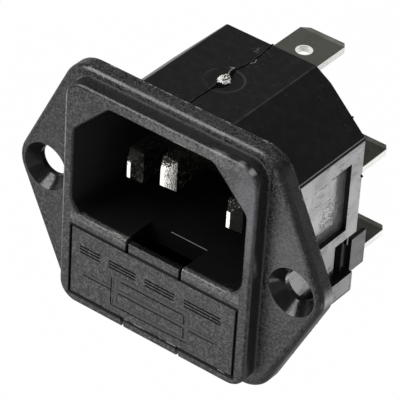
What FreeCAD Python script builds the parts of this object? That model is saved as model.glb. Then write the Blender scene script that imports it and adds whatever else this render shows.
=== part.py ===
"""Screw-flange C14 panel inlet with a fuse drawer: two mouldings, three pins, tabs, clips and fuses."""
import FreeCAD, Part
import math
import os

os.makedirs("parts", exist_ok=True)

# Frame: the panel face is Y = 0, the front faces -Y, and the fixing holes lie on Z = 0.

# Flange, in front of the panel face
flangeThick = 2.2
flangeRim = 1.0
flangeSlope = math.radians(64.3)
flangeCornerRadius = 4.0
flangeEdgeRadius = 0.8
holeHalfPitch = 17.4
earRadius = 3.95
screwHoleRadius = 1.95
screwHeadRadius = 3.05
screwHoleLand = 0.65

# Bezel, raised on the flange
bezelProud = 2.0
bezelTopRim = 1.6
bezelBottomRim = 1.35
bezelInset = 0.2
bezelCornerRadius = 2.4
bezelEdgeRadius = 0.45

# Socket recess
recessHeight = 16.1
recessChamfer = 4.8
recessTopRadius = 1.3
recessBottomRadius = 2.5
mouthRadius = 0.4
recessRib = 1.7

# Body, behind the panel face
bodyWall = 1.2
recessSideWall = 1.55
baySideWall = 2.25
bodyRoof = 2.0
bayFloor = 0.85
bodyCornerRadius = 0.9
topFlatInset = 1.05
shoulderRun = 2.15
shoulderDrop = 1.3
sideTopRise = 0.4
leftFlatInset = 0.9
leftSideDrop = 1.1

# Fuses, 5 x 20 mm, lying across the drawer
fuseLength = 20.0
fuseRadius = 2.6
fuseCapLength = 5.2
fuseCapWall = 0.3
fuseGlassWall = 0.5
fuseWireRadius = 0.15
spareSetback = 4.0
fusePitch = 7.4

# Fuse bay and drawer
seatHeight = 9.45
plateRim = 1.45
plateThick = 1.5
plateGap = 0.2
plateFootGap = 0.08
plateEdgeRadius = 0.12
tabHalfWidth = 3.57
tabGap = 0.42
tabDrop = 0.35
tabThick = 0.8
lipHalfWidth = 3.75
lipGap = 0.45
lipThick = 1.3
slotDepth = 4.62
slotEdge = 0.12
bayRoof = 2.4
fuseMargin = 0.9
armThick = 1.1
trayGap = 0.2
trayWall = 0.8
railHeight = 0.8
railProud = 0.4
floorGap = 0.6

# Fuse clips
clipSheet = 0.4
clipGap = 0.1
clipWidth = 3.6
clipArm = 1.6
clipStemHeight = 1.2
clipBackGap = 1.0
linkHalfWidth = 2.2

# Pins
pinWidth = 2.0
pinHeight = 4.0
pinHalfPitch = 7.0
pinRise = 6.0
earthRise = 4.0
pinSetback = 3.93
earthSetback = 0.83
tipFlatWidth = 0.46
tipSideDepth = 1.4
tipTopBevel = 0.75
tipBottomBevel = 1.1
tenonWidth = 1.2
tenonHeight = 2.6
rivetProud = 0.35
rivetSpread = 0.3

# Quick-connect tabs
sheet = 0.8
bladeWidth = 6.3
bladeReach = 11.2
lineBladeReach = 9.8
bladeHole = 0.9
bladeHoleInset = 4.6
bladeCorner = 0.75
bladeBevel = 0.28
bladeBevelRun = 1.05
earthBladeRise = 3.7
neutralBladeDrop = 3.25
lineBladeDrop = 1.4
lineBladeShift = 1.1

# Terminal carrier
carrierThick = 3.0
ledgeDepth = 0.9
guardNeck = 0.8
guardLength = 2.8
guardHeight = 4.7
guardWall = 0.5
guardFloor = 0.4
guardClearance = 1.0
neckWall = 0.3
ribBack = 0.95
ribThick = 0.25
stubHeight = 2.4

# Side pockets, rear notch and gate mark
pocketDepth = 0.9
pocketFront = 1.4
pocketBack = 2.25
pocketHeight = 9.2
pocketRise = 0.2
sideRail = 1.4
lowerInset = 0.95
footHeight = 3.25
notchLength = 2.6
gateRadius = 2.3
gateDepth = 0.08
gateX = 0.3
gateY = 6.7

# Places that follow from the sizes above, front to back
flangeFront = -flangeThick
bezelFront = flangeFront - bezelProud
plateRear = bezelFront + plateThick
spareRear = plateRear + spareSetback
fuseRear = spareRear + fusePitch
recessRear = fuseRear + fuseRadius + clipGap + clipSheet + clipBackGap
bodyDepth = recessRear + carrierThick
footFront = bodyDepth - sheet
guardFront = bodyDepth + guardNeck

# Side to side
trayHalfWidth = fuseLength / 2 + armThick
bayHalfWidth = trayHalfWidth + trayGap
bodyHalfWidth = bayHalfWidth + baySideWall
recessHalfWidth = bodyHalfWidth - recessSideWall
bezelHalfWidth = bodyHalfWidth - bezelInset
plateHalfWidth = bezelHalfWidth - plateRim
clipOffset = (fuseLength - fuseCapLength) / 2
lineBladeX = clipOffset + lineBladeShift
guardSide = bodyHalfWidth - lowerInset

# Bottom to top: the bezel is as far above the screw holes as below them
bezelHalfHeight = (bezelBottomRim + seatHeight + recessRib + recessHeight + bezelTopRim) / 2
flangeHalfHeight = bezelHalfHeight + flangeRim
plateBottom = bezelBottomRim - bezelHalfHeight
plateTop = plateBottom + seatHeight
recessBottom = plateTop + recessRib
recessTop = recessBottom + recessHeight
bodyTop = recessTop + bodyRoof
bayTop = recessBottom - bayRoof
fuseHeight = bayTop - fuseMargin - fuseRadius
bayBottom = fuseHeight - fuseMargin - fuseRadius
bodyBottom = bayBottom - bayFloor
linePinZ = recessBottom + pinRise
earthPinZ = linePinZ + earthRise
lineBladeZ = fuseHeight - lineBladeDrop
pocketBottom = recessBottom + pocketRise
lowerTop = pocketBottom - sideRail
lowerBottom = bodyBottom + footHeight


def box(x0, x1, y0, y1, z0, z1):
    return Part.makeBox(x1 - x0, y1 - y0, z1 - z0, FreeCAD.Vector(x0, y0, z0))


def corner(corners, index):
    """A corner's place in the XZ plane, the ways to its two neighbours, and half the angle between them."""
    here, before, after = [FreeCAD.Vector(corners[i % len(corners)][0], 0, corners[i % len(corners)][1])
                           for i in (index, index - 1, index + 1)]
    before = (before - here).normalize()
    after = (after - here).normalize()
    return here, before, after, before.getAngle(after) / 2


def outline(corners, y):
    """A closed wire in the plane Y = y through (x, z, radius) corners, each rounded by its radius."""
    ends = []
    for index, (_, _, radius) in enumerate(corners):
        here, before, after, half = corner(corners, index)
        here.y = y
        reach = radius / math.tan(half)
        middle = (before + after).normalize() * (radius / math.sin(half) - radius)
        ends.append((here + before * reach, here + after * reach, here + middle))
    edges = []
    for index, (start, stop, middle) in enumerate(ends):
        if corners[index][2] > 0:
            edges.append(Part.Arc(start, middle, stop).toShape())
        edges.append(Part.makeLine(stop, ends[(index + 1) % len(ends)][0]))
    return Part.Wire(edges)


def inset(corners, wall):
    """The same outline moved in by a wall's thickness."""
    moved = []
    for index, (_, _, radius) in enumerate(corners):
        here, before, after, half = corner(corners, index)
        here += (before + after).normalize() * (wall / math.sin(half))
        moved.append((here.x, here.z, max(radius - wall, 0)))
    return moved


def prism(corners, y0, y1):
    return Part.Face(outline(corners, y0)).extrude(FreeCAD.Vector(0, y1 - y0, 0))


def mirrored(corners):
    """The right-hand corners, from the bottom up, followed by their mirror images down the left."""
    return corners + [(-x, z, radius) for x, z, radius in reversed(corners)]


def roundedRect(halfWidth, bottom, top, radius):
    return mirrored([(halfWidth, bottom, radius), (halfWidth, top, radius)])


def edgesAt(shape, y, inside=None):
    """The edges that lie in the plane Y = y, all of them or those whose box is inside (x, z0, z1)."""
    found = []
    for edge in shape.Edges:
        bounds = edge.BoundBox
        if abs(bounds.YMin - y) > 1e-4 or abs(bounds.YMax - y) > 1e-4:
            continue
        if inside:
            halfWidth, bottom, top = inside
            if max(-bounds.XMin, bounds.XMax) > halfWidth or bounds.ZMin < bottom or bounds.ZMax > top:
                continue
        found.append(edge)
    return found


def sideBox(side, inner, outer, y0, y1, z0, z1):
    """A box between two distances from the middle, on the left (-1) or on the right (1)."""
    return box(min(side * inner, side * outer), max(side * inner, side * outer), y0, y1, z0, z1)


def cylinder(x, y0, y1, z, radius):
    return Part.makeCylinder(radius, y1 - y0, FreeCAD.Vector(x, y0, z), FreeCAD.Vector(0, 1, 0))


def flangeOutline():
    reach = holeHalfPitch + earRadius / math.sin(flangeSlope)
    corner = reach - flangeHalfHeight / math.tan(flangeSlope)
    return mirrored([(corner, -flangeHalfHeight, flangeCornerRadius), (reach, 0, earRadius),
                     (corner, flangeHalfHeight, flangeCornerRadius)])


def bodyOutline():
    """The body's section: a shouldered cut corner on the right of the socket, a plain one on the left."""
    flat = recessHalfWidth - recessChamfer
    low = recessTop - recessChamfer
    return [
        (bodyHalfWidth, bodyBottom, bodyCornerRadius),
        (bodyHalfWidth, low + sideTopRise, 0.3),
        (flat - topFlatInset + shoulderRun, bodyTop - shoulderDrop, 3.0),
        (flat - topFlatInset, bodyTop, 0.3),
        (leftFlatInset - flat, bodyTop, 0.5),
        (-bodyHalfWidth, low - leftSideDrop, 0.3),
        (-bodyHalfWidth, bodyBottom, bodyCornerRadius)]


def recessOutline():
    return mirrored([
        (recessHalfWidth, recessBottom, recessBottomRadius),
        (recessHalfWidth, recessTop - recessChamfer, recessTopRadius),
        (recessHalfWidth - recessChamfer, recessTop, recessTopRadius)])


def screwHole(x):
    """A through hole, countersunk from the flange's front face down to a short land."""
    sink = Part.makeCone(screwHeadRadius, screwHoleRadius, flangeThick - screwHoleLand,
                         FreeCAD.Vector(x, flangeFront, 0), FreeCAD.Vector(0, 1, 0))
    return cylinder(x, flangeFront, 0, 0, screwHoleRadius).fuse(sink)


def makeHousing():
    flange = prism(flangeOutline(), flangeFront, 0)
    flange = flange.makeFillet(flangeEdgeRadius, edgesAt(flange, flangeFront))
    bezel = prism(roundedRect(bezelHalfWidth, -bezelHalfHeight, bezelHalfHeight, bezelCornerRadius),
                  bezelFront, 0)
    bezel = bezel.makeFillet(bezelEdgeRadius, edgesAt(bezel, bezelFront))
    body = prism(bodyOutline(), -flangeThick / 2, bodyDepth)
    shape = flange.fuse([bezel, body])
    shape = shape.cut(prism(recessOutline(), bezelFront, recessRear))
    mouth = edgesAt(shape, bezelFront, (recessHalfWidth + 0.01, recessBottom - 0.01, recessTop + 0.01))
    shape = shape.makeFillet(mouthRadius, mouth)
    # Rear pocket, which takes the terminal carrier up to its ledge
    shape = shape.cut(prism(inset(bodyOutline(), bodyWall), recessRear, bodyDepth))
    cuts = [
        # Seat of the drawer's front plate, with the notches for its top tab and its bottom lip
        box(-plateHalfWidth, plateHalfWidth, bezelFront, plateRear, plateBottom, plateTop),
        box(-tabHalfWidth - tabGap, tabHalfWidth + tabGap, bezelFront, bezelFront + slotDepth,
            bayTop, recessBottom),
        box(-lipHalfWidth - lipGap, lipHalfWidth + lipGap, bezelFront, bezelFront + lipThick + plateGap,
            -bezelHalfHeight, plateBottom),
        # Fuse bay and the grooves for the drawer's guide rails
        box(-bayHalfWidth, bayHalfWidth, plateRear, recessRear, bayBottom, bayTop)]
    grooveHalf = railHeight / 2 + trayGap
    grooveReach = trayHalfWidth + railProud + trayGap
    cuts.append(box(-grooveReach, grooveReach, plateRear, recessRear,
                    fuseHeight - grooveHalf, fuseHeight + grooveHalf))
    for side in (-1, 1):
        cuts.append(screwHole(side * holeHalfPitch))
        for depth, y0, y1, z0, z1 in (
                (pocketDepth, pocketFront, bodyDepth - pocketBack, pocketBottom, pocketBottom + pocketHeight),
                (lowerInset, 0, bodyDepth, lowerBottom, lowerTop),
                (bodyWall, bodyDepth - notchLength, bodyDepth, lowerBottom, lowerTop)):
            cuts.append(sideBox(side, bodyHalfWidth - depth, bodyHalfWidth + 1, y0, y1, z0, z1))
    cuts.append(Part.makeCylinder(gateRadius, 1, FreeCAD.Vector(gateX, gateY, bodyTop - gateDepth)))
    shape = shape.cut(cuts)
    # Worn edge where the tab's notch ends in the recess floor
    rear = bezelFront + slotDepth
    sill = edgesAt(shape, rear, (tabHalfWidth + tabGap + 0.01, recessBottom - 0.01, recessBottom + 0.01))
    return shape.makeFillet(slotEdge, sill)


def makeCarrier(fitted):
    """The rear moulding: it closes the recess and the bay, and is cut out for the metal fitted in it."""
    shape = prism(inset(bodyOutline(), bodyWall), recessRear, bodyDepth)
    # Ledges beside the notches in the housing, each with a thin upright rib and a stub at the rear face
    edge = bodyHalfWidth - bodyWall
    inner = edge - ledgeDepth
    notchFront = bodyDepth - notchLength
    ribRear = bodyDepth - ribBack
    stubFront = bodyDepth - ribThick
    for side in (-1, 1):
        shape = shape.cut(sideBox(side, inner, edge + 1, notchFront, bodyDepth, lowerBottom, lowerTop))
        shape = shape.fuse([
            sideBox(side, inner, guardSide, ribRear - ribThick, ribRear, lowerBottom, lowerTop),
            sideBox(side, inner, guardSide, stubFront, bodyDepth, lowerTop - stubHeight, lowerTop)])
    # Guard round the fused tab: a trough with thin walls, standing behind the rear face on a neck
    floor = lineBladeZ - sheet / 2
    bottom = floor - guardFloor
    top = bottom + guardHeight
    rear = guardFront + guardLength
    left = lineBladeX - bladeWidth / 2 - guardClearance
    shape = shape.fuse([
        box(left - guardWall, lineBladeX + bladeWidth / 2 + neckWall, bodyDepth, guardFront, bottom, top),
        box(left - guardWall, guardSide, guardFront, rear, bottom, top)])
    shape = shape.cut(box(left, guardSide - guardWall, guardFront + guardWall, rear, floor, top))
    return shape.cut(fitted).removeSplitter()


def makePin(x, z, tip):
    """A flat pin with a four-sided bevelled tip, and a tenon riveted over behind its tab."""
    halfWidth, halfHeight = pinWidth / 2, pinHeight / 2

    def section(y, wide, low, high):
        return Part.makePolygon([FreeCAD.Vector(x + dx, y, z + dz) for dx, dz in (
            (-wide, low), (wide, low), (wide, high), (-wide, high), (-wide, low))])
    root = tip + tipSideDepth
    flat = section(tip, tipFlatWidth / 2, tipBottomBevel - halfHeight, halfHeight - tipTopBevel)
    point = Part.makeLoft([flat, section(root, halfWidth, -halfHeight, halfHeight)], True, True)
    bar = box(x - halfWidth, x + halfWidth, root, footFront, z - halfHeight, z + halfHeight)
    tenon = box(x - tenonWidth / 2, x + tenonWidth / 2, footFront, bodyDepth,
                z - tenonHeight / 2, z + tenonHeight / 2)
    head = box(x - tenonWidth / 2 - rivetSpread, x + tenonWidth / 2 + rivetSpread, bodyDepth,
               bodyDepth + rivetProud, z - tenonHeight / 2 - rivetSpread, z + tenonHeight / 2 + rivetSpread)
    return point.fuse([bar, tenon, head]).removeSplitter()


def tenonHole(x, z):
    return box(x - tenonWidth / 2, x + tenonWidth / 2, footFront, bodyDepth,
               z - tenonHeight / 2, z + tenonHeight / 2)


def blade(x, z, start, end):
    """A 6.3 mm tab, flat and level, with cut corners, a bevelled end and the latch hole."""
    half = bladeWidth / 2
    tip = end - bladeBevelRun
    profile = [FreeCAD.Vector(x - half, start, 0), FreeCAD.Vector(x + half, start, 0),
               FreeCAD.Vector(x + half, tip, 0), FreeCAD.Vector(x + half - bladeCorner, end, 0),
               FreeCAD.Vector(x - half + bladeCorner, end, 0), FreeCAD.Vector(x - half, tip, 0)]
    face = Part.Face(Part.makePolygon(profile + profile[:1]))
    face.translate(FreeCAD.Vector(0, 0, z - sheet / 2))
    shape = face.extrude(FreeCAD.Vector(0, 0, sheet))
    for side in (-1, 1):
        outer, inner = z + side * sheet / 2, z + side * (sheet / 2 - bladeBevel)
        wedge = Part.makePolygon([FreeCAD.Vector(x - half, tip, outer), FreeCAD.Vector(x - half, end, inner),
                                  FreeCAD.Vector(x - half, end, outer), FreeCAD.Vector(x - half, tip, outer)])
        shape = shape.cut(Part.Face(wedge).extrude(FreeCAD.Vector(bladeWidth, 0, 0)))
    hole = Part.makeCylinder(bladeHole, sheet, FreeCAD.Vector(x, end - bladeHoleInset, z - sheet / 2))
    return shape.cut(hole)


def foot(x, z0, z1, halfWidth):
    """A flat strip let into the carrier's rear face."""
    return box(x - halfWidth, x + halfWidth, footFront, bodyDepth, min(z0, z1), max(z0, z1))


def makePinTab(x, pinZ, bladeZ):
    """A tab whose foot lies in the carrier's rear face, riveted by the pin, and turns out level."""
    edge = bladeZ + math.copysign(sheet / 2, bladeZ - pinZ)
    heel = pinZ - math.copysign(pinHeight / 2, bladeZ - pinZ)
    shape = foot(x, edge, heel, bladeWidth / 2).fuse(blade(x, bladeZ, bodyDepth, bodyDepth + bladeReach))
    return shape.cut(tenonHole(x, pinZ)).removeSplitter()


def makeLineTab():
    """The fused tab: its foot backs the right-hand clip, and its blade leaves through the guard."""
    strip = foot(lineBladeX, lineBladeZ - sheet / 2, fuseHeight + clipStemHeight, linkHalfWidth)
    return strip.fuse(blade(lineBladeX, lineBladeZ, bodyDepth, bodyDepth + lineBladeReach)).removeSplitter()


def makeLineLink():
    """The strip that joins the line pin to the left-hand clip, flush in the carrier's rear face."""
    strip = foot(-pinHalfPitch, linePinZ + pinHeight / 2, fuseHeight - clipStemHeight, linkHalfWidth)
    return strip.cut(tenonHole(-pinHalfPitch, linePinZ))


def makeClip(side):
    """A sprung U round a fuse cap, open to the front, on a stem through the carrier."""
    inner = fuseRadius + clipGap
    outer = inner + clipSheet
    start = side * clipOffset - clipWidth / 2
    centre = FreeCAD.Vector(start, fuseRear, fuseHeight)
    axis = FreeCAD.Vector(1, 0, 0)
    bow = Part.makeCylinder(outer, clipWidth, centre, axis)
    arms = box(start, start + clipWidth, fuseRear - clipArm, fuseRear, fuseHeight - outer, fuseHeight + outer)
    front = box(start, start + clipWidth, fuseRear - outer - 1, fuseRear,
                fuseHeight - outer, fuseHeight + outer)
    way = box(start, start + clipWidth, fuseRear - clipArm, fuseRear, fuseHeight - inner, fuseHeight + inner)
    shape = bow.cut(front).fuse(arms.cut(way)).cut(Part.makeCylinder(inner, clipWidth, centre, axis))
    stem = box(start, start + clipWidth, fuseRear + (inner + outer) / 2, footFront,
               fuseHeight - clipSheet, fuseHeight + clipSheet)
    return shape.fuse(stem).removeSplitter()


def makeDrawer():
    """The pull-out drawer: front plate with its tab and lip, side arms with rails, floor and cradle."""
    back = plateRear - plateGap
    halfWidth = plateHalfWidth - plateGap
    top = plateTop - plateGap
    plate = box(-halfWidth, halfWidth, bezelFront, back, plateBottom + plateFootGap, top)
    tab = box(-tabHalfWidth, tabHalfWidth, bezelFront, bezelFront + tabThick, top - 1, recessBottom - tabDrop)
    shape = plate.fuse(tab).removeSplitter()
    shape = shape.makeFillet(plateEdgeRadius, edgesAt(shape, bezelFront))
    lip = box(-lipHalfWidth, lipHalfWidth, bezelFront, bezelFront + lipThick, -bezelHalfHeight, top - 1)
    lowest = [edge for edge in edgesAt(lip, bezelFront) if edge.BoundBox.ZMax < plateBottom]
    shape = shape.fuse(lip.makeFillet(bezelEdgeRadius, lowest)).removeSplitter()
    low, high = bayBottom + trayGap, bayTop - trayGap
    end = fuseRear + fuseRadius - fuseCapWall
    seat = fuseHeight - fuseRadius
    partition = (spareRear + fuseRear) / 2
    glass = fuseRadius - fuseCapWall
    half = fuseLength / 2
    floorHalfWidth = half - fuseCapLength - floorGap
    tray = [
        box(-half, half, back, partition + trayWall / 2, low, seat),
        box(-floorHalfWidth, floorHalfWidth, partition, end, low, seat),
        box(-half, half, partition - trayWall / 2, partition + trayWall / 2, low, fuseHeight),
        box(-floorHalfWidth, floorHalfWidth, fuseRear - glass, end, low, fuseHeight - glass / 3)]
    for side in (-1, 1):
        tray.append(sideBox(side, half, trayHalfWidth, back, end, low, high))
        tray.append(sideBox(side, half, trayHalfWidth + railProud, back, end,
                            fuseHeight - railHeight / 2, fuseHeight + railHeight / 2))
    groove = Part.makeCylinder(glass, fuseLength, FreeCAD.Vector(-half, fuseRear, fuseHeight),
                               FreeCAD.Vector(1, 0, 0))
    return shape.fuse(tray).cut(groove).removeSplitter()


def makeFuse(y):
    """A glass tube with a metal cap over each end and a wire along its axis."""
    def rod(x, length, radius):
        return Part.makeCylinder(radius, length, FreeCAD.Vector(x, y, fuseHeight), FreeCAD.Vector(1, 0, 0))
    glass = fuseRadius - fuseCapWall
    inside = fuseLength / 2 - fuseCapWall
    tube = rod(-inside, 2 * inside, glass)
    pieces = {"tube": tube.cut(rod(-inside, 2 * inside, glass - fuseGlassWall)),
              "wire": rod(-inside, 2 * inside, fuseWireRadius)}
    for name, start in (("cap_left", -fuseLength / 2), ("cap_right", fuseLength / 2 - fuseCapLength)):
        pieces[name] = rod(start, fuseCapLength, fuseRadius).cut(tube)
    return pieces


def makeParts():
    nodes = {
        "line_pin": makePin(-pinHalfPitch, linePinZ, bezelFront + pinSetback),
        "neutral_pin": makePin(pinHalfPitch, linePinZ, bezelFront + pinSetback),
        "earth_pin": makePin(0, earthPinZ, bezelFront + earthSetback),
        "earth_tab": makePinTab(0, earthPinZ, earthPinZ + earthBladeRise),
        "neutral_tab": makePinTab(pinHalfPitch, linePinZ, linePinZ - neutralBladeDrop),
        "line_tab": makeLineTab(),
        "line_link": makeLineLink(),
        "fuse_clip_left": makeClip(-1),
        "fuse_clip_right": makeClip(1)}
    nodes["terminal_carrier"] = makeCarrier(list(nodes.values()))
    nodes["housing"] = makeHousing()
    nodes["fuse_drawer"] = makeDrawer()
    for kind, y in (("fuse", fuseRear), ("spare_fuse", spareRear)):
        for name, shape in makeFuse(y).items():
            nodes[kind + "_" + name] = shape
    return nodes


for node, shape in makeParts().items():
    solid = shape.Solids[0]
    solid.exportStep("parts/" + node + ".step")
    print(node, len(shape.Solids), solid.isValid(), round(solid.Volume, 2))
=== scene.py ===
import bpy
import bmesh
import math
from mathutils import Matrix, Vector, noise


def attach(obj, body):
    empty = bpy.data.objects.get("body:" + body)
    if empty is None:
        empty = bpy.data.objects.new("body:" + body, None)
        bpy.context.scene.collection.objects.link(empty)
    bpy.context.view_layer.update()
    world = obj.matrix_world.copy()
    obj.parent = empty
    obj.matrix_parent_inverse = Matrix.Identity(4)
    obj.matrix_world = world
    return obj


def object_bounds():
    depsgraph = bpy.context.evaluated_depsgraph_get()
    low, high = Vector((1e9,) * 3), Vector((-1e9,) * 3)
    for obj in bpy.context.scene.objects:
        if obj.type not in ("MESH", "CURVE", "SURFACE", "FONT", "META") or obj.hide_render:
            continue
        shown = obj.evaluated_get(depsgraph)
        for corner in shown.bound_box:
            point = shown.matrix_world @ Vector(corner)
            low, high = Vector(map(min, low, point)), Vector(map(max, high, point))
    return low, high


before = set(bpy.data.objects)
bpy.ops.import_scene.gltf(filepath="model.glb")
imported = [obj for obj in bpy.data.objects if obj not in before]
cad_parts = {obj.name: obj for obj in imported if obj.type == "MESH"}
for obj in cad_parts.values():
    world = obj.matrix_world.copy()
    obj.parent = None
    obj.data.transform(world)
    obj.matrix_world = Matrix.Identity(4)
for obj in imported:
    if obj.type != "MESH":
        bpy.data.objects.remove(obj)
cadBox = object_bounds()
mm = 0.001


def point(x, y, z):
    return Vector((x, y, z)) * mm


def addObject(name, data):
    thing = bpy.data.objects.new(name, data)
    bpy.context.scene.collection.objects.link(thing)
    return thing


cameraView = dict(azimuth=35.72, elevation=36.56, roll=3.64, target=(4.45, -2.2, 6.09), distance=344.1,
                  lens=283.9, sensor=36, clip=(0.01, 20))


def makeCamera():
    data = bpy.data.cameras.new("camera")
    data.lens = cameraView["lens"]
    data.sensor_width = cameraView["sensor"]
    data.clip_start, data.clip_end = cameraView["clip"]
    camera = addObject("camera", data)
    azimuth = math.radians(cameraView["azimuth"])
    elevation = math.radians(cameraView["elevation"])
    back = Vector((math.sin(azimuth) * math.cos(elevation), -math.cos(azimuth) * math.cos(elevation),
                   math.sin(elevation)))
    right = Vector((math.cos(azimuth), math.sin(azimuth), 0))
    right = Matrix.Rotation(math.radians(cameraView["roll"]), 3, back) @ right
    up = back.cross(right)
    place = point(*cameraView["target"]) + back * cameraView["distance"] * mm
    camera.matrix_world = Matrix.Translation(place) @ Matrix((right, up, back)).transposed().to_4x4()
    bpy.context.scene.camera = camera


makeCamera()
print("camera set")


# Nodes written as nested calls: each value is a number, a colour or another node's output
class NodeWriter:
    def __init__(self, tree):
        self.nodes, self.links = tree.nodes, tree.links

    def feed(self, socket, value):
        if isinstance(value, bpy.types.NodeSocket):
            self.links.new(value, socket)
        elif isinstance(value, (tuple, list)) and len(value) == 3 and socket.type == "RGBA":
            socket.default_value = (*value, 1)
        else:
            socket.default_value = value

    def math(self, operation, *values):
        node = self.nodes.new("ShaderNodeMath")
        node.operation = operation
        for socket, value in zip(node.inputs, values):
            self.feed(socket, value)
        return node.outputs[0]

    def all(self, *masks):
        product = masks[0]
        for mask in masks[1:]:
            product = self.math("MULTIPLY", product, mask)
        return product

    def any(self, *masks):
        most = masks[0]
        for mask in masks[1:]:
            most = self.math("MAXIMUM", most, mask)
        return most

    def step(self, value, low, high, start=0.0, end=1.0):
        node = self.nodes.new("ShaderNodeMapRange")
        node.interpolation_type = "SMOOTHSTEP"
        for name, setting in (("Value", value), ("From Min", low), ("From Max", high),
                              ("To Min", start), ("To Max", end)):
            self.feed(node.inputs[name], setting)
        return node.outputs[0]

    def mixNode(self, kind, inputs, values, result):
        node = self.nodes.new("ShaderNodeMix")
        node.data_type = kind
        for number, value in zip(inputs, values):
            self.feed(node.inputs[number], value)
        return node.outputs[result]

    def mix(self, *values):
        return self.mixNode("RGBA", (0, 6, 7), values, 2)

    def blend(self, *values):
        return self.mixNode("FLOAT", (0, 2, 3), values, 0)

    def blendNormal(self, *values):
        return self.mixNode("VECTOR", (0, 4, 5), values, 1)


# A material of the object: places are in millimetres of its own frame, scales in patterns per millimetre
class Shader(NodeWriter):
    def __init__(self, name):
        self.material = bpy.data.materials.new(name)
        self.material.use_nodes = True
        super().__init__(self.material.node_tree)
        self.surface = self.nodes["Principled BSDF"]
        metres = self.nodes.new("ShaderNodeTexCoord").outputs["Object"]
        self.place = self.stretch((1 / mm, 1 / mm, 1 / mm), start=metres)
        split = self.nodes.new("ShaderNodeSeparateXYZ")
        self.links.new(self.place, split.inputs[0])
        self.x, self.y, self.z = split.outputs
        self.width = self.math("ABSOLUTE", self.x)

    def below(self, value, limit, soft=0.1):
        return self.step(value, limit - soft, limit, 1.0, 0.0)

    def inside(self, value, low, high, soft=0.1):
        return self.all(self.step(value, low - soft, low), self.step(value, high, high + soft, 1.0, 0.0))

    def apart(self, value, middle):
        return self.math("ABSOLUTE", self.math("SUBTRACT", value, middle))

    def near(self, value, middle, reach, soft):
        return self.below(self.apart(value, middle), reach, soft)

    def round(self, first, second, centre, stretch=(1, 1)):
        gaps = [self.math("MULTIPLY", self.math("SUBTRACT", value, middle), factor)
                for value, middle, factor in zip((first, second), centre, stretch)]
        squares = [self.math("MULTIPLY", gap, gap) for gap in gaps]
        return self.math("SQRT", self.math("ADD", *squares))

    def spot(self, first, second, centre, stretch, reach, soft):
        return self.below(self.round(first, second, centre, stretch), reach, soft)

    def stretch(self, scale, turn=(0, 0, 0), start=None):
        node = self.nodes.new("ShaderNodeMapping")
        self.links.new(start or self.place, node.inputs["Vector"])
        node.inputs["Scale"].default_value = scale
        node.inputs["Rotation"].default_value = [math.radians(angle) for angle in turn]
        return node.outputs[0]

    def noise(self, scale, detail=2.0, roughness=0.5, place=None):
        node = self.nodes.new("ShaderNodeTexNoise")
        self.links.new(place or self.place, node.inputs["Vector"])
        node.inputs["Scale"].default_value = scale
        node.inputs["Detail"].default_value = detail
        node.inputs["Roughness"].default_value = roughness
        return node.outputs["Fac"]

    # A mask from noise: scale, detail and roughness, then the levels between which it rises
    def cloud(self, texture, levels, place=None):
        return self.step(self.noise(*texture, place=place), *levels)

    def cells(self, scale):
        node = self.nodes.new("ShaderNodeTexVoronoi")
        self.links.new(self.place, node.inputs["Vector"])
        node.inputs["Scale"].default_value = scale
        return node.outputs["Distance"]

    def edges(self, radius, soft=(0.86, 0.985)):
        bevel = self.nodes.new("ShaderNodeBevel")
        bevel.samples = 6
        bevel.inputs["Radius"].default_value = radius * mm
        across = self.nodes.new("ShaderNodeVectorMath")
        across.operation = "DOT_PRODUCT"
        self.links.new(bevel.outputs[0], across.inputs[0])
        self.links.new(self.nodes.new("ShaderNodeNewGeometry").outputs["Normal"], across.inputs[1])
        return self.step(across.outputs["Value"], *soft, 1.0, 0.0)

    def tint(self, colour, mask, strength, over):
        return self.mix(self.math("MULTIPLY", mask, strength), colour, over)

    def bump(self, height, depth, strength=1.0, under=None):
        node = self.nodes.new("ShaderNodeBump")
        self.feed(node.inputs["Height"], height)
        self.feed(node.inputs["Strength"], strength)
        node.inputs["Distance"].default_value = depth * mm
        if under is not None:
            self.links.new(under, node.inputs["Normal"])
        return node.outputs[0]

    def finish(self, colour, roughness, normal, metallic=0.0):
        for name, value in (("Base Color", colour), ("Roughness", roughness), ("Normal", normal),
                            ("Metallic", metallic)):
            self.feed(self.surface.inputs[name], value)
        return self.material


# Outlines that the moulding's marks follow
outline = dict(bezelWidth=13.35, bezelTop=15.1, bezelCorner=2.4, plateWidth=11.8, plateTop=-4.2,
               plateBottom=-13.85, plateFront=-3.9, screwX=17.4, sinkRadius=3.12)


def bezelDistance(s):
    o = outline
    across = s.math("MAXIMUM", s.math("SUBTRACT", s.width, o["bezelWidth"] - o["bezelCorner"]), 0.0)
    up = s.math("SUBTRACT", s.math("ABSOLUTE", s.z), o["bezelTop"] - o["bezelCorner"])
    up = s.math("MAXIMUM", up, 0.0)
    squares = s.math("ADD", s.math("MULTIPLY", across, across), s.math("MULTIPLY", up, up))
    return s.math("SUBTRACT", s.math("SQRT", squares), o["bezelCorner"])


def plateGapLine(s, half, soft):
    o = outline
    side = s.math("SUBTRACT", s.width, o["plateWidth"])
    above = s.math("SUBTRACT", s.z, o["plateTop"])
    under = s.math("SUBTRACT", o["plateBottom"], s.z)
    distance = s.math("ABSOLUTE", s.any(side, above, under))
    return s.all(s.below(distance, half + soft, soft), s.below(s.y, o["plateFront"]))


grainLook = dict(fine=(5.6, 2.0, 0.65), coarse=(2.24, 1.0), fineShare=0.75, levels=(0.43, 0.63), depth=0.060,
                 dark=(0.003, 0.003, 0.003), light=(0.095, 0.095, 0.093), ior=1.5,
                 patches=(0.35, 2.0), patchLift=(0.35, 0.7, 0.0, 0.12), patchRough=(0.3, 0.7, 0.22, 0.34),
                 edge=0.38, edgeRough=0.23, gap=(0.20, 0.06), gapShade=(0.001, 0.001, 0.001), gapRough=0.8,
                 calmRim=(-2.15, -1.9), calmShare=0.8, calmBump=0.2)
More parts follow.
